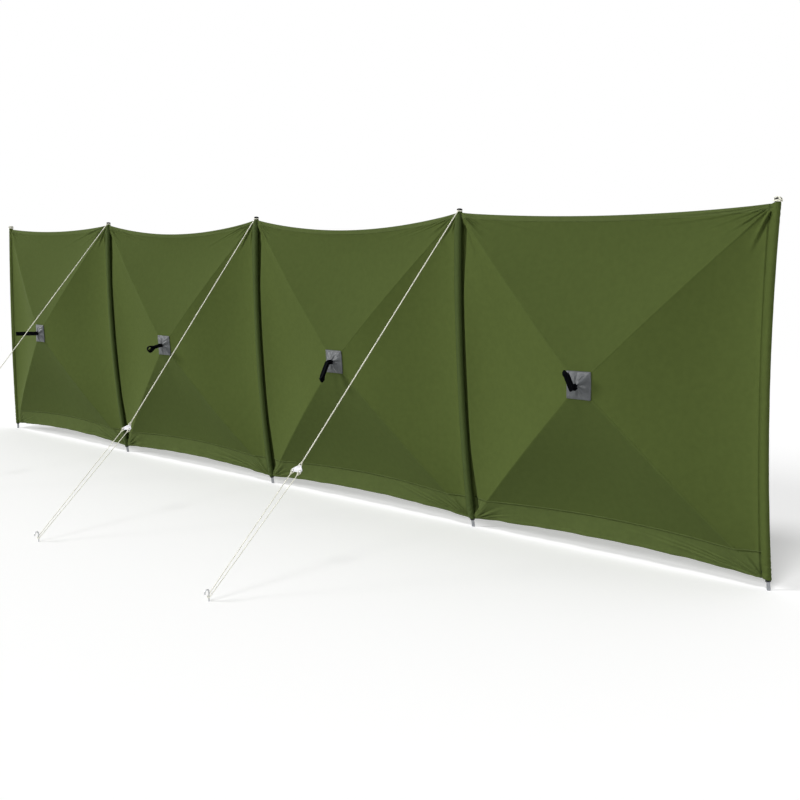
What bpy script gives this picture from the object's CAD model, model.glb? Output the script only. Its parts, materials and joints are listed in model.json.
"""Beach windbreak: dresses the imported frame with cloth, webbing, cord and finishes.

X runs along the row, the front faces -Y, the ground is at Z = 0, and all lengths are in metres.
"""
import json
import math

import bpy
import numpy as np
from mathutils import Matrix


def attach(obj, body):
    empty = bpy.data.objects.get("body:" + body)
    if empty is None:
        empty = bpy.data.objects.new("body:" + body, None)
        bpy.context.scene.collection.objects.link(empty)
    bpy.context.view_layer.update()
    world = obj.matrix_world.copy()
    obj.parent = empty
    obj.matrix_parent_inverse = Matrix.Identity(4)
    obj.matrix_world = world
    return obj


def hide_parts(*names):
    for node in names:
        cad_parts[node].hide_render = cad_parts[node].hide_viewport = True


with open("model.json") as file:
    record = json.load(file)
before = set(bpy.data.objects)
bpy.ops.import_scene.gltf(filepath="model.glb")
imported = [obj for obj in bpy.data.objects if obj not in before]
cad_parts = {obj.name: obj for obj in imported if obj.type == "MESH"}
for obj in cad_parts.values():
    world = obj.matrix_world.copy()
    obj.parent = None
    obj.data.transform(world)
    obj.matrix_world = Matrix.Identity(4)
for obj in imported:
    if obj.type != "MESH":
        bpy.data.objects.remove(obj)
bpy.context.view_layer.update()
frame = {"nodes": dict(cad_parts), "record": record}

# Sizes that the scene shares with the solids
FEET = np.array(sorted(m["pos_m"] for m in frame["record"]["mounts"]))
BAYS = len(FEET) - 1
PITCH = FEET[1, 0] - FEET[0, 0]
CLOTH_H = 1.55
GROUND_GAP = 0.045
HUB_DEPTHS = (0.21, 0.22, 0.23, 0.255)
INNER_TOP_DIP = 0.07
END_TOP_DIP = 0.03
HEM_RISE = 0.03
POLE_LEANS = (0.09, 0.09, 0.12)
END_LEAN = 0.03
POLE_BOW = 0.04
END_BOW = 0.028
END_BOW_TURN = 40
STRUT_BOW = 0.02
EDGE_GAP = 0.0124
SKIRT_H = 0.12
PATCH_W = 0.125
CAP_FLOOR = 0.007
NECK_H = 0.008

# Pull straps, with one value for each bay where there are several
STRAP_TAILS = (0.126, 0.082, 0.096, 0.100)
STRAP_BENDS = (35, 15, 75, 65)
STRAP_TURNS = (180, 260, 255, 95)
STRAP_EYES = (0.005, 0.016, 0.009, 0.005)
STRAP_ROLLS = (0, 22, 28, 42)
STRAP_FOLDS = (0.0022, 0.006, 0.0022, 0.0022)
STRAP_DROOPS = (0.0, 0.0, 0.05, 0.42)
STRAP_W = 0.028
STRAP_START = 0.008
STRAP_ROOT = 0.032
STRAP_BEND_R = 0.01
STRAP_GAP = 0.0016
STRAP_STEP = 0.002
EYE_TAPER = 2.2
HITCH_R = 0.0085
HITCH_PITCH = 0.0105
HITCH_W = 0.012
HITCH_T = 0.0026

# Guy lines, with one value for each inner pole where there are several
PEG_SIDES = (0.25, 0.25, 0.02)
RUNNER_SHARES = (0.69, 0.63, 0.68)
RUNNER_DROPS = (0.04, 0.11, 0.045)
PEG_OUT = 1.7
PEG_LOOP_Z = 0.022
RUNNER_W = 0.044
RUNNER_H = 0.02
GUY_D = 0.004
CORD_D = 0.0055
TIED_LEN = 0.062
TIED_TAPER = 0.02
FINE_STEP = 0.002
LOOP_R = 0.0093
TURN_R = 0.0125
KNOT_OUT = 0.012
KNOT_SHARE = 0.8
KNOT_SHIFT = 0.003
EYE_R = 0.008
BIGHT_R = 0.0075

# Cord put away on the end caps, with its passes over the head as (out, up) points
WOUND_D = 0.0045
PASS_ANGLES = (2.5, 5.4, 0.9)
PASS_HALF = [(0.0150, 0.0), (0.0172, 0.004), (0.0170, 0.009), (0.012, 0.0150), (0.0, 0.0164)]

# Cloth, with its front face at FACE from its middle
CLOTH_T = 0.0012
FACE = CLOTH_T / 2
HEM_W = 0.028
HEM_LIFT = 0.001
HEM_EDGE = 0.0015
HEM_STEP = 0.0027
HEM_OVER = 0.0012
SKIRT_HEM_W = 0.018
SKIRT_BACK = 1.3 * CLOTH_T
SEAM_W = 0.011
SEAM_LAP = 0.008
SKIRT_LINE = 1 - 2 * SKIRT_H / CLOTH_H
PATCH_LINE = PATCH_W / PITCH
PATCH_LIFT = 1.6 * CLOTH_T
INNER_CELLS = 44
OUTER_CELLS = 44
TINY = 1e-9

# Taut shape of a bay: gores that lie back between their seams, a point at the hub, raised corners
GORE_SAG = 0.045
SAG_SCALE = 27 / 4
HUB_TENT = 0.016
CORNER_PEAK = 0.002

# Waves of the cloth, with rates in radians for each metre
BILLOW = 0.0007
BILLOW_RATES = ((7, 3), (-4, 8), (11, -9))
PUCKER = 0.0008
PUCKER_W = 0.012
HEM_WAVE = 0.0022
HEM_WAVE_RATES = ((16, 1.0), (29, 1.0), (53, 0.5))

# Folds that fan out from the corners of a bay: angle from the top or bottom edge, length and height
TOP_LEFT_FOLDS = [(5, 0.70, 0.0040), (11, 0.42, 0.0045), (24, 0.24, 0.0100), (36, 0.22, 0.0110),
                  (55, 0.24, 0.0110), (69, 0.20, 0.0090)]
TOP_RIGHT_FOLDS = [(4, 0.90, 0.0045), (9, 0.60, 0.0055), (17, 0.42, 0.0060), (29, 0.28, 0.0110),
                   (56, 0.26, 0.0110), (70, 0.20, 0.0080)]
LOW_LEFT_FOLDS = [(10, 0.36, 0.0070), (21, 0.27, 0.0090), (35, 0.22, 0.0100), (54, 0.18, 0.0090)]
LOW_RIGHT_FOLDS = [(6, 0.95, 0.0070), (11, 0.70, 0.0090), (17, 0.45, 0.0080), (29, 0.28, 0.0090),
                   (47, 0.22, 0.0090)]
FOLD_SEED = 40
FOLD_START = 0.06
FOLD_W = 0.0028
SHORT_FOLD = 0.3
SHORT_FOLD_SPREAD = 0.038
LONG_FOLD_SPREAD = 0.012

# Cloth over the ends of the struts; pairs are the start and the length of a ramp
STRUT_BULGE = 0.005
STRUT_RIDGE_W = 0.0085
STRUT_RIDGE_RISE = (0.02, 0.04)
STRUT_RIDGE_FADE = (0.06, 0.17)
COVER_END = (0.11, 0.08)
COVER_SIDE = (0.016, 0.012)
COVER_GAP = 0.0006

# Cloth beside the poles: a sleeve sewn on the front of one bay, and a slot between it and the next bay
SLEEVE_R = 0.0135
SLEEVE_TIP = 0.024
SLEEVE_TIP_OUT = 0.0095
SLEEVE_LIP = 0.0013
SLEEVE_SEAM = SLEEVE_TIP - EDGE_GAP
FLUSH_LIFT = 0.008
END_GROOVE = 0.006
INNER_GROOVE = 0.0015
GROOVE = (0.004, 0.0035)
SLOT_DEPTH = 0.032
SLOT_W = 0.012
SLOT_END_W = 0.034
SLOT_FLARE = 0.42
SLOT_LEAST_W = 0.006
SLOT_TIP = 0.02
SLOT_TAPER = 1.3
SLOT_START = (0.018, 0.045)
FLAP_TURN = 0.4
FLAP_STEP = 0.0004
FLAP_END = (-0.003, 0.0152)
FLAP_FOLD = (0.004, 0.0165)
FLAP_FOLD_SHARE = 0.9

# Creases of the patches
RAY_H = 0.007
DENT_H = 0.0009
RIM_H = 0.0014

# Stitches
STITCH_PITCH = 0.0055
STITCH_SHARE = 0.36
STITCH_HALF_W = 0.0005
STITCH_INSET = 0.003
SKIRT_STITCHES = (-0.003, 0.004)
SEAM_STITCH_STEP = 0.00476
SLEEVE_STITCH = 0.009
PATCH_STITCH = 0.005

# Camera, fitted to the photograph's 800 pixel frame
IMAGE_PX = 800
SENSOR_MM = 36
FOCAL_PX = 1101.4
CAMERA_AT = (5.1481, -4.3065, 1.3855)
CAMERA_YAW = 43.390
CAMERA_PITCH = 7.432

# Light: strengths at which a colour renders about as it is written, with azimuths to the left of the front
KEY = {"strength": 0.6, "azimuth": 42, "elevation": 22, "spread": 14}
TOP_LIGHT = {"strength": 0.4, "azimuth": -10, "elevation": 56, "spread": 14}
FRONT_FILL = 0.06
BACK_FILL = 0.6
FLOOR_GLOW = 0.23
FLOOR_HALF = 200.0
FADE_FROM = 4.0
FADE_TO = 11.0

RIGHT = np.array((1.0, 0.0, 0.0))
FRONT = np.array((0.0, -1.0, 0.0))
UP = np.array((0.0, 0.0, 1.0))
CORNERS = [(x, z) for x in (-1, 1) for z in (-1, 1)]


# Small helpers

def unit(v):
    return v / np.linalg.norm(v, axis=-1, keepdims=True)


def square_to(v, axis):
    return unit(v - axis * (v @ axis))


def square_rows(v, axes):
    """The part of one vector that is square to each of many axes, at unit length."""
    return unit(v - axes * (axes @ v)[..., None])


def smooth(x):
    x = np.clip(x, 0, 1)
    return x * x * (3 - 2 * x)


def ramp(x, start, length):
    """Rises smoothly from 0 at a start to 1 after a length."""
    return smooth((x - start) / length)


def hump(x, centre, width):
    """Round hump of height 1."""
    return np.exp(-((x - centre) / width) ** 2)


def mix(a, b, share):
    return a + (b - a) * share


class Bow:
    """A circular bow from a start along a chord, bulging by a sag."""

    def __init__(self, start, chord, towards, sag):
        length = np.linalg.norm(chord)
        self.axis = chord / length
        self.out = square_to(towards, self.axis)
        self.radius = length ** 2 / (8 * sag) + sag / 2
        self.half = math.asin(length / 2 / self.radius)
        self.centre = start + chord / 2 + self.out * (sag - self.radius)

    def angle(self, t):
        return self.half * (2 * np.asarray(t)[..., None] - 1)

    def point(self, t):
        a = self.angle(t)
        return self.centre + self.radius * (self.axis * np.sin(a) + self.out * np.cos(a))

    def direction(self, t):
        a = self.angle(t)
        return self.axis * np.cos(a) - self.out * np.sin(a)


# Poles

def inward(i):
    """1 at the first pole, -1 at the last one, 0 at the others."""
    return {0: 1, BAYS: -1}.get(i, 0)


def pole_bow(i):
    side = inward(i)
    chord = np.array((side * END_LEAN, 0 if side else -POLE_LEANS[i - 1], CLOTH_H))
    turn = math.radians(side * END_BOW_TURN)
    towards = np.array((math.sin(turn), -math.cos(turn), 0))
    sag = END_BOW if side else POLE_BOW
    foot_dir = Bow(np.zeros(3), chord, towards, sag).direction(0)
    return Bow(FEET[i] + foot_dir * GROUND_GAP / foot_dir[2], chord, towards, sag)


POLES = [pole_bow(i) for i in range(BAYS + 1)]


def cap_neck(i):
    """Middle of the neck under a pole's cap, and the direction of the pole there."""
    up = POLES[i].direction(1)
    return POLES[i].point(1) + up * (CAP_FLOOR + NECK_H / 2), up


# Cloth of one bay

def varied_folds(rng, folds):
    """Folds of one corner, a little different in each bay: angle, length, height and bend."""
    return [
        (math.radians(angle) * rng.uniform(0.88, 1.12), length * rng.uniform(0.75, 1.25),
         height * rng.uniform(0.7, 1.2), rng.uniform(-0.2, 0.2))
        for angle, length, height in folds
    ]


def ridge(off):
    """Section of a fold: a sharp crest with a trough beside it."""
    return np.exp(-1.3 * np.abs(off) ** 1.4) - 0.55 * hump(off, 1.6, 0.8)


def fan(p, q, folds):
    """Folds that run out from a corner, where p and q are the distances to its side and its level edge."""
    r = np.hypot(p, q) + TINY
    turn = np.arctan2(q, p)
    lift = 0.0
    for angle, length, height, bend in folds:
        width = FOLD_W + (SHORT_FOLD_SPREAD if length < SHORT_FOLD else LONG_FOLD_SPREAD) * r
        off = (turn - angle - bend * r) * r / width
        lift = lift + height * smooth(r / FOLD_START) * (1 - smooth(r / length)) * ridge(off)
    return lift


def off_diagonal(p, q):
    """Height above the line from a corner to the hub."""
    return q - p * CLOTH_H / PITCH


def strut_ridge(p, q):
    """Bulge over the end of a strut, along the seam from an upper corner."""
    along = np.hypot(p, q)
    shown = ramp(along, *STRUT_RIDGE_RISE) * (1 - ramp(along, *STRUT_RIDGE_FADE))
    return STRUT_BULGE * shown * ridge(off_diagonal(p, q) / STRUT_RIDGE_W)


def strut_cover(p, q):
    """1 over the end of a strut and its bracket, fading to 0 beside them."""
    along = np.hypot(p, q)
    off = np.abs(off_diagonal(p, q))
    return (1 - ramp(along, *COVER_END)) * (1 - ramp(off, *COVER_SIDE))


def gore_sag(t, u):
    """How far a gore lies back, with t from the hub to the edge and u from seam to seam."""
    return GORE_SAG * SAG_SCALE * t * t * (1 - t) * (1 - u * u)


def slot_setback(p, end):
    """Depth of the slot beside a pole, at distances from the edge and from the nearer end of the cloth."""
    width = mix(SLOT_W, SLOT_END_W, smooth(1 - end / SLOT_FLARE))
    width = np.minimum(width, np.maximum((end - SLOT_TIP) / SLOT_TAPER, SLOT_LEAST_W))
    slot = SLOT_DEPTH * hump(p, 0, width) * ramp(end, *SLOT_START)
    return slot * (1 - strut_cover(p, end))


def flush_setback(p, end, groove):
    """Cloth that comes forward to a sleeve, with a groove along the sleeve's seam."""
    lift = FLUSH_LIFT * hump(p, 0, 0.03) * smooth(end / 0.08)
    return groove * hump(p - SLEEVE_SEAM, *GROOVE) - lift


class Bay:
    """The cloth surface of one bay, with across and height from -1 to 1."""

    def __init__(self, number):
        self.number = number
        self.poles = POLES[number - 1], POLES[number]
        self.flush = {-1: number == 1, 1: True}
        end_bays = {-1: 1, 1: BAYS}
        self.grooves = {s: END_GROOVE if number == end else INNER_GROOVE for s, end in end_bays.items()}
        middle = (FEET[number - 1] + FEET[number]) / 2
        self.hub = middle + FRONT * HUB_DEPTHS[number - 1] + UP * (GROUND_GAP + CLOTH_H / 2)
        self.seams = {}
        for across, height in CORNERS:
            chord = self.edge(across, np.float64(height)) - self.hub
            self.seams[across, height] = Bow(self.hub, chord, FRONT, STRUT_BOW)
        dip = END_TOP_DIP if number in (1, BAYS) else INNER_TOP_DIP
        self.drops = {1: -dip, -1: HEM_RISE}
        rng = np.random.default_rng(FOLD_SEED + number)
        self.folds = {
            (-1, 1): varied_folds(rng, TOP_LEFT_FOLDS), (1, 1): varied_folds(rng, TOP_RIGHT_FOLDS),
            (-1, -1): varied_folds(rng, LOW_LEFT_FOLDS), (1, -1): varied_folds(rng, LOW_RIGHT_FOLDS)}
        self.phases = rng.uniform(0, math.tau, 12)

    def edge(self, side, height):
        pole = self.poles[0] if side < 0 else self.poles[1]
        return pole.point((height + 1) / 2) - side * EDGE_GAP * RIGHT

    def base(self, across, height):
        """Points of the plain taut cloth: four gores between the seams."""
        across, height = np.broadcast_arrays(np.float64(across), np.float64(height))
        t = np.maximum(np.abs(across), np.abs(height))
        level = np.abs(height) >= np.abs(across)
        points = np.tile(self.hub, t.shape + (1,))
        for side in (-1, 1):
            m = level & (np.sign(height) == side)
            points[m] = self.level_gore(side, t[m], across[m] / t[m])
            m = ~level & (np.sign(across) == side)
            points[m] = self.side_gore(side, t[m], height[m] / t[m])
        return points

    def level_gore(self, side, t, u):
        """The upper or the lower gore, with its curved hem."""
        points = mix(self.seams[-1, side].point(t), self.seams[1, side].point(t), (u[:, None] + 1) / 2)
        drop = self.drops[side] * (1 - u * u) * t ** 2
        return points + UP * drop[:, None] - FRONT * gore_sag(t, u)[:, None]

    def side_gore(self, side, t, u):
        """The left or the right gore, which follows its bowed pole at the edge."""
        share = (u[:, None] + 1) / 2
        points = mix(self.seams[side, -1].point(t), self.seams[side, 1].point(t), share)
        straight = mix(self.edge(side, np.float64(-1)), self.edge(side, np.float64(1)), share)
        bow = (self.edge(side, u) - straight) * t[:, None] ** 5
        return points + bow - FRONT * gore_sag(t, u)[:, None]

    def normal(self, across, height, step=0.006):
        along = self.base(across + step, height) - self.base(across - step, height)
        upward = self.base(across, height + step) - self.base(across, height - step)
        return unit(np.cross(along, upward))

    def relief(self, across, height):
        """Height of folds and puckers in front of the taut cloth."""
        x = across * PITCH / 2
        z = height * CLOTH_H / 2
        lift = self.billow(x, z) + self.puckers(x, z) + self.hem_waves(x, z)
        for (side, level), folds in self.folds.items():
            p = np.maximum(PITCH / 2 - side * x, 0)
            q = np.maximum(CLOTH_H / 2 - level * z, 0)
            if level > 0:
                lift += fan(p, q, folds) + strut_ridge(p, q)
            else:
                lift += fan(p, q, folds) * (1 - smooth((q - SKIRT_H) / 0.012 + 0.5))
            lift = mix(lift, np.maximum(lift, COVER_GAP), strut_cover(p, q))
        return lift

    def billow(self, x, z):
        """Slow waves of the cloth between its seams."""
        return BILLOW * sum(np.sin(i * x + j * z + a) for (i, j), a in zip(BILLOW_RATES, self.phases))

    def puckers(self, x, z):
        """Small gathers along the seam of the skirt."""
        a = self.phases
        near = hump(z, -SKIRT_LINE * CLOTH_H / 2, PUCKER_W)
        gathers = np.sin(190 * x + 4 * np.sin(17 * x + a[3])) * (0.6 + 0.4 * np.sin(23 * x + a[4]))
        return PUCKER * near * gathers

    def hem_waves(self, x, z):
        """Slack of the skirt towards its hem."""
        slack = smooth((-SKIRT_LINE * CLOTH_H / 2 - z) / SKIRT_H)
        slack = slack * smooth((PITCH / 2 - np.abs(x)) / 0.15)
        waves = sum(size * np.sin(rate * x + a) for (rate, size), a in zip(HEM_WAVE_RATES, self.phases[5:]))
        return HEM_WAVE * slack * waves

    def setback(self, across, height):
        """How far the cloth turns back beside a pole: into a slot, or along the sleeve's seam."""
        across, height = np.broadcast_arrays(np.float64(across), np.float64(height))
        depth = np.zeros(across.shape)
        end = CLOTH_H / 2 * (1 - np.abs(height))
        for side in (-1, 1):
            p = np.maximum(PITCH / 2 * (1 - side * across), 0)
            depth += flush_setback(p, end, self.grooves[side]) if self.flush[side] else slot_setback(p, end)
        return depth

    def peak(self, across, height):
        """Rise of the upper corners to the caps."""
        p = PITCH / 2 * (1 - np.abs(across))
        q = CLOTH_H / 2 * (1 - height)
        return CORNER_PEAK * np.exp(-np.abs(p) / 0.03) * np.exp(-np.abs(q) / 0.05)

    def tent(self, across, height):
        """How far the hub pushes the cloth to a point."""
        t = np.maximum(np.abs(across), np.abs(height))
        return HUB_TENT * np.clip(1 - t / (1.5 * PATCH_LINE), 0, 1) ** 1.3

    def surface(self, across, height, lift=0.0):
        """Points of the finished cloth, or of what lies on it at some height."""
        across, height = np.broadcast_arrays(np.float64(across), np.float64(height))
        rise = self.relief(across, height) + self.tent(across, height) + lift
        points = self.base(across, height) + self.normal(across, height) * rise[..., None]
        points = points - FRONT * self.setback(across, height)[..., None]
        return points + UP * self.peak(across, height)[..., None]


ALL_BAYS = [Bay(b) for b in range(1, BAYS + 1)]


# Meshes

def placed(name, data):
    """A new object in the scene."""
    obj = bpy.data.objects.new(name, data)
    bpy.context.scene.collection.objects.link(obj)
    return obj


def piece(name, points, faces, material, replaces=()):
    """A mesh that rides on the frame and may stand for some of its nodes."""
    mesh = bpy.data.meshes.new(name)
    mesh.from_pydata(np.asarray(points).reshape(-1, 3).tolist(), [], faces)
    mesh.shade_smooth()
    mesh.materials.append(material)
    obj = placed(name, mesh)
    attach(obj, "root")
    if replaces:
        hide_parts(*replaces)
    return obj


def grid_faces(rows, columns, closed=False):
    """Quads of a grid of points; a closed grid joins its last column to its first."""
    faces = []
    for j in range(rows - 1):
        for i in range(columns if closed else columns - 1):
            k = (i + 1) % columns
            a, b = j * columns, (j + 1) * columns
            faces.append((a + i, a + k, b + k, b + i))
    return faces


def tube_faces(rings, sides):
    """Faces of a closed tube with flat ends."""
    ends = [tuple(range(sides))[::-1], tuple(range((rings - 1) * sides, rings * sides))]
    return grid_faces(rings, sides, closed=True) + ends


def thicken(obj, thickness):
    mod = obj.modifiers.new("thickness", "SOLIDIFY")
    mod.thickness = thickness
    mod.offset = 0
    return obj


def cloth_lines():
    """Grid lines of the cloth from edge to edge, closer beside the poles and hems."""
    s = np.linspace(0, 1, INNER_CELLS + 1)
    inner = SKIRT_LINE * (1.5 * s - 0.5 * s * s)
    outer = np.linspace(SKIRT_LINE, 1, OUTER_CELLS + 1)[1:]
    half = np.concatenate([inner[1:], outer])
    return np.concatenate([-half[::-1], [0], half])


def cloth_faces(across, height):
    """Faces of a cloth grid, split along the seams where a cell lies on one."""
    faces = []
    rows, columns = across.shape
    x = across[:-1, :-1] + across[1:, 1:]
    z = height[:-1, :-1] + height[1:, 1:]
    on_seam = np.abs(np.abs(x) - np.abs(z)) < TINY
    for j in range(rows - 1):
        for i in range(columns - 1):
            a, b = j * columns + i, (j + 1) * columns + i
            if not on_seam[j, i]:
                faces.append((a, a + 1, b + 1, b))
            elif x[j, i] * z[j, i] > 0:
                faces += [(a, a + 1, b + 1), (a, b + 1, b)]
            else:
                faces += [(a, a + 1, b), (a + 1, b + 1, b)]
    return faces


def cloth_sheet(kind, bay, across, height, lift, mat):
    """The panel or the skirt of a bay."""
    a, h = np.meshgrid(across, height)
    points = bay.surface(a, h, lift)
    if np.isclose(across[0], -1) and not bay.flush[-1]:
        a, h, points = with_turned_edge(bay, a, h, points)
    node_name = f"{kind}_{bay.number}"
    obj = piece("cloth_" + node_name, points, cloth_faces(a, h), mat, [node_name])
    mark_grain(obj.data, a.ravel(), h.ravel())
    return thicken(obj, CLOTH_T)


def mark_grain(mesh, across, height):
    """Marks the faces of the upper and lower gores, which take a darker green."""
    values = []
    for face in mesh.polygons:
        corners = list(face.vertices)
        x, z = across[corners].mean(), height[corners].mean()
        values.append((TOP_GRAIN if z > 0 else 1.0) if abs(z) > abs(x) else 0.0)
    mesh.attributes.new("grain", "FLOAT", "FACE").data.foreach_set("value", values)


def with_turned_edge(bay, across, height, points):
    """Adds the flap that closes the slot beside a pole, from the cloth's edge to the back of the sleeve."""
    up = height[:, 0]
    axis = bay.poles[0].point((up + 1) / 2)
    depth = bay.setback(-1, up)[:, None]
    behind = smooth(depth / (FLAP_TURN * SLOT_DEPTH))
    edge = points[:, 0]
    fold_back = np.maximum(FLAP_FOLD_SHARE * depth, FLAP_FOLD[1])
    end = axis + RIGHT * FLAP_END[0] - FRONT * FLAP_END[1]
    fold = axis + RIGHT * FLAP_FOLD[0] - FRONT * fold_back
    flap = [mix(edge - RIGHT * FLAP_STEP * 2, end, behind), mix(edge - RIGHT * FLAP_STEP, fold, behind)]
    points = np.concatenate([np.stack(flap, 1), points], 1)
    height = np.concatenate([height[:, :1], height[:, :1], height], 1)
    beyond = np.full(up.shape, -1.01)
    across = np.concatenate([np.stack([2 * beyond, beyond], 1), across], 1)
    return across, height, points


def strip_on_cloth(bay, across, height, sideways, section, lift=FACE):
    """Points and faces of a closed band along a line on the cloth, from (offset, height) pairs."""
    across, height = np.broadcast_arrays(across, height)
    offsets, heights = np.array(section).T
    a = across[:, None] + sideways[0] * offsets
    h = height[:, None] + sideways[1] * offsets
    points = bay.surface(a, h, np.broadcast_to(heights + lift, a.shape)).reshape(-1, 3)
    return points, tube_faces(len(across), len(section))


def joined(parts):
    """Several point and face lists as one."""
    points, faces, start = [], [], 0
    for p, f in parts:
        points.append(p)
        faces += [tuple(start + k for k in face) for face in f]
        start += len(p)
    return np.concatenate(points), faces


# Materials

TOP_GRAIN = 0.7
THREAD_W = 0.0011
# Length of one band of a wave texture at scale 1
WAVE_BAND = 0.314


def material(name, base, roughness, sockets=()):
    """A principled material with its constant values."""
    mat = bpy.data.materials.new(name)
    mat.use_nodes = True
    shader = mat.node_tree.nodes["Principled BSDF"]
    shader.inputs["Base Color"].default_value = (*base, 1)
    shader.inputs["Roughness"].default_value = roughness
    for key, value in dict(sockets).items():
        shader.inputs[key].default_value = value
    return mat


def node(owner, kind, links=(), **values):
    """Adds a node, sets its properties and its inputs (in_...), and links (socket, input name) pairs."""
    made = owner.node_tree.nodes.new(kind)
    for key, value in values.items():
        if key.startswith("in_"):
            made.inputs[key[3:].replace("_", " ").title()].default_value = value
        else:
            setattr(made, key, value)
    for source, target in links:
        owner.node_tree.links.new(source, made.inputs[target])
    return made


def link(mat, source, target):
    mat.node_tree.links.new(source, mat.node_tree.nodes["Principled BSDF"].inputs[target])


def object_coords(mat):
    return node(mat, "ShaderNodeTexCoord").outputs["Object"]


def noise(mat, coords, scale, detail):
    made = node(mat, "ShaderNodeTexNoise", [(coords, "Vector")], in_scale=scale, in_detail=detail)
    return made.outputs["Fac"]


def colour_ramp(mat, fac, base, spread):
    """Colours a little darker and lighter than the base, chosen by a pattern."""
    ramp_node = node(mat, "ShaderNodeValToRGB", [(fac, "Fac")])
    for stop, place, share in zip(ramp_node.color_ramp.elements, (0.3, 0.7), (1 - spread, 1 + spread)):
        stop.position = place
        stop.color = (*[c * share for c in base], 1)
    return ramp_node.outputs["Color"]


def varied_colour(mat, base, spread, scale, coords, cross_grain=None):
    """Base colour that drifts a little, and another one on marked faces."""
    drift = noise(mat, coords, scale, 5.0)
    colour = colour_ramp(mat, drift, base, spread)
    if cross_grain:
        grain = node(mat, "ShaderNodeAttribute", attribute_name="grain").outputs["Fac"]
        blend = node(mat, "ShaderNodeMix", data_type="RGBA")
        across = colour_ramp(mat, drift, cross_grain, spread)
        for source, socket in ((grain, 0), (colour, 6), (across, 7)):
            mat.node_tree.links.new(source, blend.inputs[socket])
        colour = blend.outputs[2]
    link(mat, colour, "Base Color")


def bumped(mat, height, strength, distance):
    bump = node(mat, "ShaderNodeBump", [(height, "Height")], in_strength=strength, in_distance=distance)
    link(mat, bump.outputs["Normal"], "Normal")


def woven(name, base, thread=THREAD_W, spread=0.05, roughness=0.85, shine=0.06, cross_grain=None):
    """Plain woven cloth: crossed threads and a faint drift of colour."""
    mat = material(name, base, roughness, {"Specular IOR Level": shine})
    coords = object_coords(mat)
    varied_colour(mat, base, spread, 40.0, coords, cross_grain)
    waves = [
        node(mat, "ShaderNodeTexWave", [(coords, "Vector")], bands_direction=axis,
             in_scale=WAVE_BAND / thread, in_distortion=0.6, in_detail=1.0)
        for axis in ("X", "Z")
    ]
    both = node(mat, "ShaderNodeMath", [(waves[0].outputs["Fac"], 0), (waves[1].outputs["Fac"], 1)])
    bumped(mat, both.outputs[0], 0.25, 0.0003)
    return mat


def moulded(name, base, roughness):
    """Moulded plastic with a fine grain and rubbed patches."""
    mat = material(name, base, roughness, {"Specular IOR Level": 0.25})
    coords = object_coords(mat)
    varied_colour(mat, base, 0.2, 30.0, coords)
    bumped(mat, noise(mat, coords, 900.0, 3.0), 0.2, 0.0002)
    return mat


def plated(name, base, roughness):
    """Zinc-plated steel with cloudy patches and fine scratches."""
    mat = material(name, base, roughness, {"Metallic": 1.0})
    coords = object_coords(mat)
    varied_colour(mat, base, 0.15, 60.0, coords)
    bumped(mat, noise(mat, coords, 700.0, 4.0), 0.15, 0.0002)
    return mat


PANEL_CLOTH = woven("panel_cloth", (0.081, 0.110, 0.0275), cross_grain=(0.069, 0.094, 0.0245))
SEAM_CLOTH = woven("seam_cloth", (0.0775, 0.1055, 0.027))
SKIRT_CLOTH = woven("skirt_cloth", (0.09, 0.121, 0.035))
SLEEVE_CLOTH = woven("sleeve_cloth", (0.064, 0.09, 0.027))
END_SLEEVE_CLOTH = woven("end_sleeve_cloth", (0.079, 0.107, 0.027))
HEM_CLOTH = woven("hem_cloth", (0.09, 0.12, 0.036))
PATCH_CLOTH = woven("patch_cloth", (0.092, 0.098, 0.103), 0.0016, spread=0.14, roughness=0.42, shine=0.35)
WEBBING = woven("webbing", (0.004, 0.0045, 0.006), 0.0022, shine=0.02)
THREAD = woven("thread", (0.076, 0.103, 0.028), 0.001)
CORD = woven("guy_cord", (0.96, 0.95, 0.82), 0.0025)
BLACK_NYLON = moulded("black_nylon", (0.01, 0.011, 0.012), 0.7)
STRUT_ROD = moulded("strut_rod", (0.02, 0.021, 0.023), 0.3)
RUNNER = moulded("runner_plastic", (0.78, 0.78, 0.82), 0.4)
POLE_STEEL = plated("pole_steel", (0.55, 0.56, 0.57), 0.38)
FOOT_STEEL = plated("foot_steel", (0.3, 0.31, 0.33), 0.42)

NODE_FINISHES = {
    "hub_sockets": BLACK_NYLON, "top_brackets": BLACK_NYLON, "bottom_brackets": BLACK_NYLON,
    "feet": FOOT_STEEL, "pegs": POLE_STEEL, "guy_runners": RUNNER,
    **{f"hub_{b}": BLACK_NYLON for b in range(1, BAYS + 1)},
    **{f"struts_{b}": STRUT_ROD for b in range(1, BAYS + 1)},
    **{f"pole_{i}": POLE_STEEL for i in range(1, BAYS + 2)},
}


def finish_nodes():
    for name, mat in NODE_FINISHES.items():
        obj = frame["nodes"][name]
        obj.data.materials.clear()
        obj.data.materials.append(mat)


# Pieces of cloth

def make_panel(bay, lines):
    lap = -SKIRT_LINE - 2 * SEAM_LAP / CLOTH_H
    rows = np.concatenate([[lap], lines[OUTER_CELLS:]])
    return cloth_sheet("panel", bay, lines, rows, 0.0, PANEL_CLOTH)


def make_skirt(bay, lines):
    lap = -SKIRT_LINE + SEAM_LAP / CLOTH_H
    rows = np.concatenate([lines[:OUTER_CELLS + 1], [lap]])
    return cloth_sheet("skirt", bay, lines, rows, -SKIRT_BACK, SKIRT_CLOTH)


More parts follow.
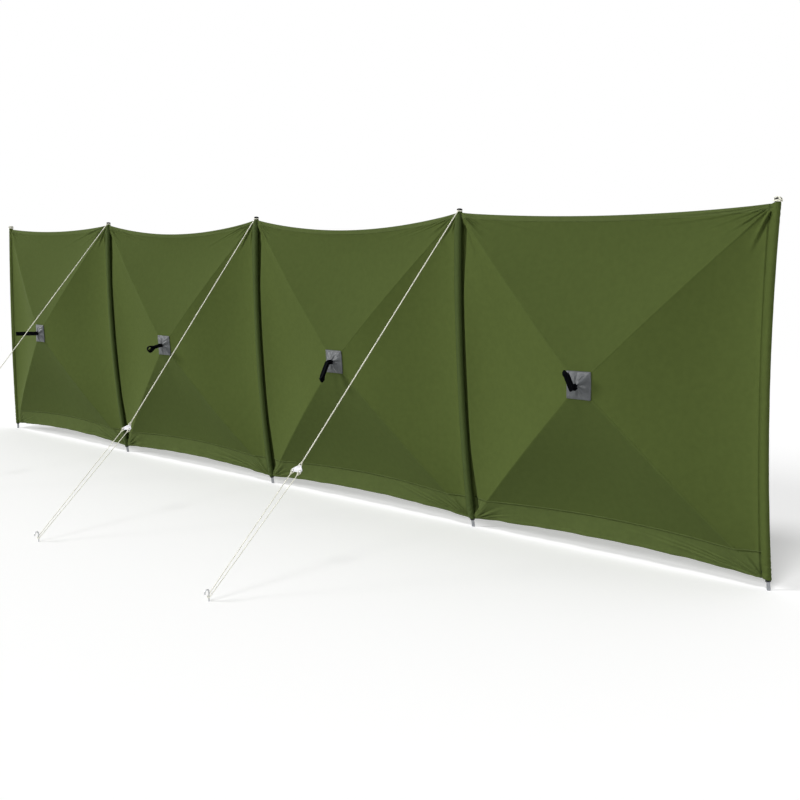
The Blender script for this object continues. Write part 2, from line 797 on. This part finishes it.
def crumple(bay, across, height):
    """Creases of the stiff patch on a hub, and the turned-in edge around it."""
    x, z = across * PITCH / 2, height * CLOTH_H / 2
    a = bay.phases
    turn, r = np.arctan2(z, x), np.hypot(x, z)
    rays = np.abs(np.sin(2.5 * turn + a[8])) * np.abs(np.sin(4 * turn + 20 * r + a[9]))
    dents = np.sin(95 * x + 60 * z + a[10]) * np.sin(70 * z - 85 * x + a[11])
    rim = PATCH_W / 2 - np.maximum(np.abs(x), np.abs(z) * PITCH / CLOTH_H)
    fold = RAY_H * rays * smooth(r / 0.025) * smooth(rim / 0.03)
    return fold + DENT_H * (1 + dents) + RIM_H * hump(rim, 0.004, 0.003)


def make_patch(bay):
    lines = np.linspace(-PATCH_LINE, PATCH_LINE, 49)
    a, h = np.meshgrid(lines, lines)
    points = bay.surface(a, h, PATCH_LIFT + crumple(bay, a, h))
    obj = piece(f"cloth_patch_{bay.number}", points, cloth_faces(a, h), PATCH_CLOTH,
                [f"hub_patch_{bay.number}"])
    return thicken(obj, CLOTH_T)


def run_lengths(points):
    """Distance along a line of points, from its start to each of them."""
    return np.concatenate([[0], np.cumsum(np.linalg.norm(np.diff(points, axis=0), axis=1))])


def points_at(at, run, points):
    """Points at given distances along a line."""
    return np.stack([np.interp(at, run, points[:, k]) for k in range(3)], 1)


def stitch_row(bay, across, height, lift):
    """Points and faces of small raised stitches along a line on the cloth."""
    across, height = np.broadcast_arrays(across, height)
    fine = bay.surface(across, height, lift)
    run = run_lengths(fine)
    at = np.arange(0.5, run[-1] / STITCH_PITCH - 0.5) * STITCH_PITCH
    middle = points_at(at, run, fine)
    along = unit(points_at(at + 0.001, run, fine) - middle)
    out = square_rows(FRONT, along)
    side = np.cross(along, out)
    reach = (STITCH_SHARE * STITCH_PITCH * along, STITCH_HALF_W * side, STITCH_HALF_W * out)
    points = np.stack([middle + sign * arm for arm in reach for sign in (-1, 1)], 1).reshape(-1, 3)
    lozenge = [(0, 2, 5), (2, 1, 5), (1, 3, 5), (3, 0, 5), (2, 0, 4), (1, 2, 4), (3, 1, 4), (0, 3, 4)]
    return points, [tuple(6 * n + k for k in face) for n in range(len(middle)) for face in lozenge]


def hem_stitches(bay):
    """Rows along the top hem, the skirt's seam and the skirt's hem."""
    across = np.linspace(-0.985, 0.985, 400)
    top = 1 - 2 * (HEM_W - STITCH_INSET) / CLOTH_H
    low = -1 + 2 * (SKIRT_HEM_W - STITCH_INSET) / CLOTH_H
    seams = [stitch_row(bay, across, -SKIRT_LINE + 2 * up / CLOTH_H, FACE) for up in SKIRT_STITCHES]
    return [stitch_row(bay, across, top, FACE + HEM_LIFT), *seams, stitch_row(bay, across, low, -FACE)]


def seam_shares(z, start, count):
    """Places along a seam from the patch to an upper corner or to the skirt."""
    return np.linspace(start * PATCH_LINE, SKIRT_LINE if z < 0 else 0.93, count)


def seam_sideways(x, z):
    """Step square to a seam, across and up the cloth, for each metre."""
    length = math.hypot(PITCH, CLOTH_H)
    return -z * CLOTH_H / length * 2 / PITCH, x * PITCH / length * 2 / CLOTH_H


def seam_stitches(bay):
    """Two rows along each seam."""
    rows = []
    for x, z in CORNERS:
        share = seam_shares(z, 1.1, 300)
        for step in (-SEAM_STITCH_STEP, SEAM_STITCH_STEP):
            across, height = x * share - z * step / PITCH, z * share + x * step / CLOTH_H
            rows.append(stitch_row(bay, across, height, FACE + 0.0001))
    return rows


def sleeve_stitches(bay):
    """Rows beside the sleeves that are sewn to this bay."""
    up = np.linspace(-0.98, 0.98, 400)
    line = 1 - (SLEEVE_SEAM + SLEEVE_STITCH) / (PITCH / 2)
    return [stitch_row(bay, side * line, up, FACE) for side in (-1, 1) if bay.flush[side]]


def patch_stitches(bay):
    """Rows around the patch."""
    inset = PATCH_LINE * (1 - PATCH_STITCH / (PATCH_W / 2))
    edge = np.linspace(-inset, inset, 60)
    lift = PATCH_LIFT + FACE + 0.0007
    rows = []
    for side in (-inset, inset):
        rows += [stitch_row(bay, edge, side, lift), stitch_row(bay, side, edge, lift)]
    return rows


def make_stitching(bay):
    rows = hem_stitches(bay) + seam_stitches(bay) + sleeve_stitches(bay) + patch_stitches(bay)
    points, faces = joined(rows)
    return piece(f"stitching_{bay.number}", points, faces, THREAD)


def make_hem(bay, level, width, lift, name, mat):
    """Folded band over the top or the bottom edge of the cloth."""
    places = np.linspace(width - HEM_EDGE, HEM_EDGE, int(width / HEM_STEP))
    front = [(s, FACE + HEM_LIFT) for s in places]
    back = [(s, -out) for s, out in front[::-1]]
    section = [(width, FACE + 0.0002), *front, (-HEM_OVER, 0), *back, (width, -FACE - 0.0003)]
    down = (0.0, -level * 2 / CLOTH_H)
    points, faces = strip_on_cloth(bay, cloth_lines(), level, down, section, lift)
    return piece(f"{name}_{bay.number}", points, faces, mat)


def make_skirt_seam(bay):
    """Raised edge of the skirt where it is sewn to the panel."""
    section = [(-0.002, -0.0006), (-0.0014, 0.0010), (0.0004, 0.0020), (0.0028, 0.0014), (0.006, -0.0006),
               (0.002, -0.0012)]
    across = np.linspace(-1, 1, 321)
    points, faces = strip_on_cloth(bay, across, -SKIRT_LINE, (0.0, -2 / CLOTH_H), section)
    return piece(f"skirt_seam_{bay.number}", points, faces, HEM_CLOTH)


def make_seam_tapes(bay):
    """Felled seams from the hub to the corners."""
    half = SEAM_W / 2
    section = [(-half, -0.0004), (-half, 0.0001), (-half * 0.8, 0.0002), (0, 0.0003), (half * 0.8, 0.0002),
               (half, 0.0001), (half, -0.0004)]
    parts = []
    for x, z in CORNERS:
        share = seam_shares(z, 0.9, 150)
        parts.append(strip_on_cloth(bay, x * share, z * share, seam_sideways(x, z), section))
    points, faces = joined(parts)
    return piece(f"seam_tapes_{bay.number}", points, faces, SEAM_CLOTH)


def make_bay(bay):
    lines = cloth_lines()
    panel = make_panel(bay, lines)
    skirt = make_skirt(bay, lines)
    patch = make_patch(bay)
    tapes = make_seam_tapes(bay)
    stitching = make_stitching(bay)
    top_hem = make_hem(bay, 1, HEM_W, 0.0, "top_hem", HEM_CLOTH)
    low_hem = make_hem(bay, -1, SKIRT_HEM_W, -SKIRT_BACK, "skirt_hem", SKIRT_CLOTH)
    make_skirt_seam(bay)


def sleeve_side(i):
    """Side of a pole on which its sleeve is sewn to the cloth."""
    return 1 if i == 0 else -1


def sleeve_wrinkles(i, t, turn):
    """Crossing creases of a sleeve, strongest where it gathers at the bottom."""
    z = t * CLOTH_H
    strength = 0.02 + 0.11 * smooth(1 - z / 0.17) + 0.05 * smooth(1 - (CLOTH_H - z) / 0.09)
    waves = np.sin(330 * z + 2.2 * np.sin(turn + i) + 9 * np.sin(21 * z + i))
    cross = np.sin(210 * z - 2.5 * turn + 2 * i)
    return 1 + strength * (0.6 * waves + 0.4 * cross)


def sleeve_rings():
    """Heights and radii of a sleeve's rings, as shares of the cloth's height and of the full radius."""
    low, high = 0.12, 0.93
    over = (CAP_FLOOR + 0.001) / CLOTH_H
    t = np.concatenate([
        np.linspace(0, low, 48), np.linspace(low, high, 52)[1:], np.linspace(high, 1, 20)[1:],
        [1 + 0.8 * over, 1 + over, 1 + over]])
    return t, np.concatenate([np.ones(len(t) - 2), [0.93, 0.6]])


def make_sleeve(i):
    """Cloth tube around a pole, sewn to the front of the cloth along one side and drawn in at the cap."""
    side = sleeve_side(i)
    bay = ALL_BAYS[i if side > 0 else i - 1]
    t, shrink = sleeve_rings()
    lean = math.atan2(SLEEVE_TIP_OUT, SLEEVE_TIP)
    reach = math.acos(SLEEVE_R / math.hypot(SLEEVE_TIP, SLEEVE_TIP_OUT))
    turn = np.linspace(lean + reach, lean + math.tau - reach, 30)
    along = POLES[i].direction(t)
    across = unit(np.cross(along, FRONT)) * side
    ahead = square_rows(FRONT, along)
    axis = POLES[i].point(t)
    radius = SLEEVE_R * shrink[:, None] * sleeve_wrinkles(i, t[:, None], turn)
    tube = axis[:, None] + radius[..., None] * (
        across[:, None] * np.cos(turn)[:, None] + ahead[:, None] * np.sin(turn)[:, None])
    seam_line = -side * (1 - SLEEVE_SEAM / (PITCH / 2))
    seam = bay.surface(np.full(t.shape, seam_line), np.clip(2 * t - 1, -1, 1))
    seam = mix(axis, seam, np.where(shrink < 1, 0.5, 1)[:, None])
    lip = FRONT * SLEEVE_LIP
    points = np.concatenate([(seam + lip)[:, None], tube, (seam - 2 * lip)[:, None]], 1)
    obj = piece(f"cloth_sleeve_{i + 1}", points, grid_faces(*points.shape[:2], closed=True),
                END_SLEEVE_CLOTH if inward(i) else SLEEVE_CLOTH, [f"pole_sleeve_{i + 1}"])
    thicken(obj, CLOTH_T)


# Straps and cords

def swept(path, sections):
    """Points and faces of a closed tube: each point of a path has its own ring of offsets."""
    return (path[:, None] + sections).reshape(-1, 3), tube_faces(*sections.shape[:2])


def tangents(path):
    return unit(np.gradient(path, axis=0))


def evenly(points, step):
    """Points at equal steps along a line."""
    points = np.asarray(points)
    run = run_lengths(points)
    return points_at(np.linspace(0, run[-1], max(int(run[-1] / step), 2) + 1), run, points)


def curve_through(points, steps=12):
    """Smooth line through given points."""
    p = np.asarray(points)
    p = np.concatenate([[2 * p[0] - p[1]], p, [2 * p[-1] - p[-2]]])
    s = np.linspace(0, 1, steps, endpoint=False)[:, None]
    parts = []
    for a, b, c, d in zip(p, p[1:], p[2:], p[3:]):
        square, cube = 2 * a - 5 * b + 4 * c - d, 3 * b - a - 3 * c + d
        parts.append(0.5 * (2 * b + (c - a) * s + square * s ** 2 + cube * s ** 3))
    return np.concatenate(parts + [p[-2:-1]])


def any_side(axis):
    """A direction that isn't along an axis."""
    return UP if abs(axis[2]) < 0.9 else RIGHT


def cord(points, diameter=CORD_D, sides=9, pitch=0.011, step=0.0034, ends=0.0):
    """Twisted cord along a line, whose three strands show as turning lobes; it is thinner in tied ends."""
    path = evenly(points, step)
    along = tangents(path)
    normals = [unit(np.cross(along[0], any_side(along[0])))]
    for d in along[1:]:
        normals.append(square_to(normals[-1], d))
    normals = np.array(normals)
    across = np.cross(along, normals)
    turn = np.linspace(0, math.tau, sides, endpoint=False)
    at = np.arange(len(path)) * step
    near_end = np.minimum(at, at[::-1])
    full = mix(GUY_D, diameter, ramp(near_end, ends, TIED_TAPER)) if ends else diameter
    lobes = 0.93 + 0.07 * np.cos(3 * turn - math.tau * at[:, None] / pitch)
    radius = np.reshape(full, (-1, 1)) / 2 * lobes
    sections = radius[..., None] * (
        normals[:, None] * np.cos(turn)[:, None] + across[:, None] * np.sin(turn)[:, None])
    return swept(path, sections)


def ring_points(centre, start, across, turn, count=48):
    """Points around a centre, from one arm towards another by some turn."""
    a = np.linspace(0, turn, count)[:, None]
    return centre + start * np.cos(a) + across * np.sin(a)


def knot(at, along, turns=3.0):
    """Cord wound around itself."""
    u = square_to(any_side(along), along)
    v = np.cross(along, u)
    a = np.linspace(0, math.tau * turns, 60)[:, None]
    radius = 0.75 * GUY_D
    middle = at + along * (a / math.tau - turns / 2) * GUY_D * KNOT_SHARE
    path = middle + radius * (u * np.cos(a) + v * np.sin(a))
    return cord(path, KNOT_SHARE * GUY_D, sides=7, step=0.0015)


def guy_points(i):
    """Start of a guy line beside its cap, runner hole, peg, and the cap's neck with its directions."""
    k = i - 1
    neck, up = cap_neck(i)
    peg = FEET[i] + RIGHT * PEG_SIDES[k] + FRONT * PEG_OUT + UP * PEG_LOOP_Z
    out = square_to(peg - neck, up)
    start = neck + out * KNOT_OUT
    return start, mix(start, peg, RUNNER_SHARES[k]) - UP * RUNNER_DROPS[k], peg, (neck, up, out)


def upper_guy(start, runner, side, place):
    """Line from the cap to the runner, with a loop and two more turns on the neck."""
    neck, up, out = place
    line = unit(runner - start)
    loop = ring_points(neck, out * LOOP_R, np.cross(up, out) * LOOP_R, math.tau)
    spare = ring_points(neck, out * TURN_R, np.cross(up, out) * TURN_R, 2 * math.tau)
    spare += up * np.linspace(-0.002, 0.003, len(spare))[:, None]
    eye_side = np.cross(square_to(side, line), line)
    eye = ring_points(runner - line * EYE_R, -line * EYE_R, eye_side * EYE_R, math.tau)
    return [cord(np.concatenate([loop, [start], eye]), ends=TIED_LEN), cord(spare, GUY_D, step=FINE_STEP),
            knot(start + line * KNOT_SHIFT, line), knot(eye[0] - line * KNOT_SHIFT, line)]


def lower_guy(runner, peg, strand, side):
    """Loop from the runner round the peg and back."""
    parts, ends = [], {}
    face = np.cross(strand, side)
    for s in (-1, 1):
        hole = runner + strand * RUNNER_H + side * s * RUNNER_W / 2
        pull = unit(peg + side * s * BIGHT_R - hole)
        ends[s] = ring_points(hole + pull * EYE_R, pull * EYE_R, face * EYE_R, math.tau)
        parts.append(knot(ends[s][0] + pull * KNOT_SHIFT, pull))
    bight = ring_points(peg, -side * BIGHT_R, strand * BIGHT_R, math.pi)
    return parts + [cord(np.concatenate([ends[-1], bight, ends[1]]), GUY_D)]


def make_guy(i):
    """Guy line in two tied lengths: cap to runner, and runner round the peg and back."""
    start, runner, peg, place = guy_points(i)
    strand = unit(peg - runner)
    side = unit(np.cross(strand, UP))
    points, faces = joined(upper_guy(start, runner, side, place) + lower_guy(runner, peg, strand, side))
    piece(f"guy_cord_{i + 1}", points, faces, CORD, [f"guy_line_{i + 1}"])


def wound_line(i):
    """Route of the cord on an end cap: turns on the neck that grow outwards, then passes over the head."""
    neck, up = cap_neck(i)
    u = square_to(RIGHT, up)
    v = np.cross(up, u)
    a = np.linspace(0, math.tau * 4.4, 160)[:, None]
    radius = LOOP_R + 0.0035 * ramp(a, 6, 3) + 0.0045 * ramp(a, 15, 3)
    rise = 0.0012 * np.sin(1.3 * a) + 0.004 * ramp(a, 19, 6)
    line = [neck + radius * (u * np.cos(a) + v * np.sin(a)) + up * rise]
    over = PASS_HALF + [(-out, z) for out, z in PASS_HALF[-2::-1]]
    for angle in PASS_ANGLES:
        d = u * math.cos(angle) + v * math.sin(angle)
        line.append(curve_through([neck + d * out + up * z for out, z in over]))
    return np.concatenate(line)


def make_wound_cord(ends):
    """Cord put away around the caps of the end poles."""
    points, faces = joined([cord(wound_line(i), WOUND_D, step=FINE_STEP) for i in ends])
    piece("wound_cord_turns", points, faces, CORD, ["wound_cords"])


def strap_line(b):
    """Middle line of a pull strap in its plane: out from the hub, round a bend and along the tail."""
    bend = math.radians(STRAP_BENDS[b - 1])
    a = np.linspace(0, bend, 12)
    arc = np.stack([STRAP_ROOT + STRAP_BEND_R * np.sin(a), STRAP_BEND_R - STRAP_BEND_R * np.cos(a)], 1)
    tail = arc[-1] + STRAP_TAILS[b - 1] * np.array((math.cos(bend), math.sin(bend)))
    line = np.concatenate([[(0, 0)], arc, [tail]])
    return evenly(np.concatenate([line, np.zeros((len(line), 1))], 1), STRAP_STEP)


def band(path, wide, width, thickness):
    """Points and faces of webbing along a path, with its width along given vectors."""
    along = tangents(path)
    wide = unit(wide - along * (wide * along).sum(1, keepdims=True))
    thick = np.cross(wide, along)
    half, t = width / 2, thickness / 2
    shape = [(-half, -0.4 * t), (-half, 0.4 * t), (-0.92 * half, t), (0.92 * half, t), (half, 0.4 * t),
             (half, -0.4 * t), (0.92 * half, -t), (-0.92 * half, -t)]
    return swept(path, np.stack([wide * x + thick * y for x, y in shape], 1))


def strap_hitch(root, v):
    """Half hitch that gathers the webbing in front of the hub."""
    a = np.linspace(0, math.tau * 2.2, 60)[:, None]
    w = np.cross(FRONT, v)
    radius = HITCH_R + 0.002 * np.sin(0.8 * a)
    middle = root + FRONT * (0.008 + HITCH_PITCH * a / math.tau)
    path = middle + radius * (v * np.cos(a) + w * np.sin(a))
    return band(path, np.broadcast_to(FRONT, path.shape) + 0.35 * w * np.sin(a), HITCH_W, HITCH_T)


def strap_opening(b, count):
    """Half the gap between the two layers of a strap, which open into an eye at its end."""
    left = np.linspace((count - 1) * STRAP_STEP, 0, count)
    r = STRAP_EYES[b - 1]
    eye = np.sqrt(np.maximum(r * r - (r - left) ** 2, 0))
    return np.where(left < r, eye, mix(STRAP_GAP, r, 1 - ramp(left, r, EYE_TAPER * r)))[:, None]


def make_strap(b):
    """Webbing loop through the patch, knotted at the hub, doubled along its length and open at its end."""
    line = strap_line(b)
    along = tangents(line)
    normal = np.stack([-along[:, 1], along[:, 0], np.zeros(len(line))], 1)
    opening = strap_opening(b, len(line))
    loop = np.concatenate([line + normal * opening, (line - normal * opening)[-2::-1]])
    turn = math.radians(STRAP_TURNS[b - 1])
    v = RIGHT * math.cos(turn) + UP * math.sin(turn)
    root = ALL_BAYS[b - 1].hub + FRONT * STRAP_START
    ahead = unit(FRONT - UP * STRAP_DROOPS[b - 1])
    path = root + ahead * loop[:, :1] + v * loop[:, 1:2]
    roll = math.radians(STRAP_ROLLS[b - 1])
    flat = np.cross(FRONT, v)
    wide = flat * math.cos(roll) + np.cross(flat, tangents(path)) * math.sin(roll)
    points, faces = joined([band(path, wide, STRAP_W, STRAP_FOLDS[b - 1]), strap_hitch(root, v)])
    piece(f"strap_loop_{b}", points, faces, WEBBING, [f"pull_strap_{b}"])


# Stage

def make_camera():
    data = bpy.data.cameras.new("camera")
    data.sensor_width = SENSOR_MM
    data.lens = FOCAL_PX / IMAGE_PX * SENSOR_MM
    obj = placed("camera", data)
    obj.location = CAMERA_AT
    obj.rotation_euler = (math.radians(90 - CAMERA_PITCH), 0, math.radians(CAMERA_YAW))
    bpy.context.scene.camera = obj


def seen_directly(owner):
    """1 for rays that show the background: from the camera, a reflection or through glass."""
    rays = node(owner, "ShaderNodeLightPath").outputs
    total = rays["Is Camera Ray"]
    for kind in ("Is Glossy Ray", "Is Transmission Ray"):
        either = node(owner, "ShaderNodeMath", [(total, 0), (rays[kind], 1)], operation="MAXIMUM")
        total = either.outputs[0]
    return total


def floor_material():
    """Pale floor with a faint glow, which fades into the white background far from the object."""
    mat = material("floor", (0.9, 0.9, 0.9), 0.9, {"Specular IOR Level": 0.0})
    tree = mat.node_tree
    seen = seen_directly(mat)
    far = node(mat, "ShaderNodeVectorMath", [(object_coords(mat), 0)], operation="LENGTH")
    fade = node(mat, "ShaderNodeMapRange", [(far.outputs["Value"], "Value")],
                interpolation_type="SMOOTHSTEP", in_from_min=FADE_FROM, in_from_max=FADE_TO)
    white = node(mat, "ShaderNodeEmission")
    glow = node(mat, "ShaderNodeEmission")
    strength = node(mat, "ShaderNodeMath", [(seen, 0)], operation="MULTIPLY")
    strength.inputs[1].default_value = FLOOR_GLOW
    tree.links.new(strength.outputs[0], glow.inputs["Strength"])
    lit = tree.nodes["Principled BSDF"].outputs[0]
    near = node(mat, "ShaderNodeAddShader", [(lit, 0), (glow.outputs[0], 1)])
    share = node(mat, "ShaderNodeMath", [(fade.outputs["Result"], 0), (seen, 1)], operation="MULTIPLY")
    blend = node(mat, "ShaderNodeMixShader", [
        (share.outputs[0], 0), (near.outputs[0], 1), (white.outputs[0], 2)])
    tree.links.new(blend.outputs[0], tree.nodes["Material Output"].inputs["Surface"])
    return mat


def make_floor():
    mesh = bpy.data.meshes.new("floor")
    corners = [(x * FLOOR_HALF, y * FLOOR_HALF, 0) for x, y in ((-1, -1), (1, -1), (1, 1), (-1, 1))]
    mesh.from_pydata(corners, [], [(0, 1, 2, 3)])
    mesh.materials.append(floor_material())
    placed("floor", mesh)


def make_world():
    """Soft fill, brighter behind the row than in front of it, before a white background."""
    world = bpy.data.worlds.new("studio")
    bpy.context.scene.world = world
    world.use_nodes = True
    tree = world.node_tree
    fill = tree.nodes["Background"]
    fill.inputs["Color"].default_value = (1, 1, 1, 1)
    place = node(world, "ShaderNodeTexCoord").outputs["Generated"]
    where = node(world, "ShaderNodeSeparateXYZ", [(place, 0)])
    strength = node(world, "ShaderNodeMapRange", [(where.outputs["Y"], "Value")], in_from_min=-0.2,
                    in_from_max=0.2, in_to_min=FRONT_FILL, in_to_max=BACK_FILL)
    tree.links.new(strength.outputs["Result"], fill.inputs["Strength"])
    white = node(world, "ShaderNodeBackground", in_color=(1, 1, 1, 1))
    choose = node(world, "ShaderNodeMixShader", [
        (seen_directly(world), 0), (fill.outputs[0], 1), (white.outputs[0], 2)])
    tree.links.new(choose.outputs[0], tree.nodes["World Output"].inputs["Surface"])


def make_light(name, light):
    """Broad soft light on the whole row."""
    data = bpy.data.lights.new(name, "SUN")
    data.energy = light["strength"] * math.pi
    data.angle = math.radians(light["spread"])
    obj = placed(name, data)
    obj.rotation_euler = (math.radians(90 - light["elevation"]), 0, math.radians(-light["azimuth"]))


def main():
    bpy.context.scene.view_settings.view_transform = "Standard"
    make_camera()
    make_world()
    make_light("key", KEY)
    make_light("top_light", TOP_LIGHT)
    make_floor()
    finish_nodes()
    for bay in ALL_BAYS:
        make_bay(bay)
    for i in range(BAYS + 1):
        make_sleeve(i)
    for b in range(1, BAYS + 1):
        make_strap(b)
    for i in range(1, BAYS):
        make_guy(i)
    make_wound_cord((0, BAYS))
    bpy.context.view_layer.update()


main()
